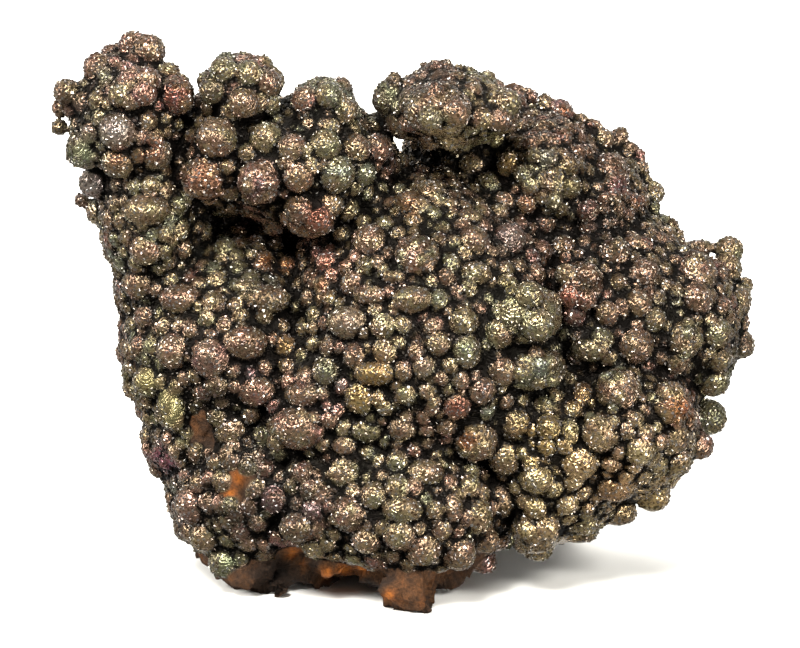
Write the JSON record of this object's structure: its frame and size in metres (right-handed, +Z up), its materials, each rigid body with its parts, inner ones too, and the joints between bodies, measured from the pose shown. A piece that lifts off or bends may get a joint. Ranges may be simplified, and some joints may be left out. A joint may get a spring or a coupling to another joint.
{
  "type": "limonite specimen",
  "caption": "Free-standing limonite specimen: an iridescent botryoidal iron oxide crust on a rough earthy matrix, resting on its uneven underside.",
  "frame": {"origin": "on the surface it stands on, under the middle of its bounding box", "axes": "+X along the display face, to the right as it is looked at; +Y from the display face to the broken back; +Z up"},
  "size_m": [0.0986, 0.048, 0.0772],
  "materials": {
    "limonite": "dark brown iron oxide with a glistening, half metallic skin in bronze, green and red tints; bare matrix at the back and below is earthy and matte"
  },
  "bodies": {
    "root": {"limonite_specimen": "limonite"}
  },
  "joints": []
}
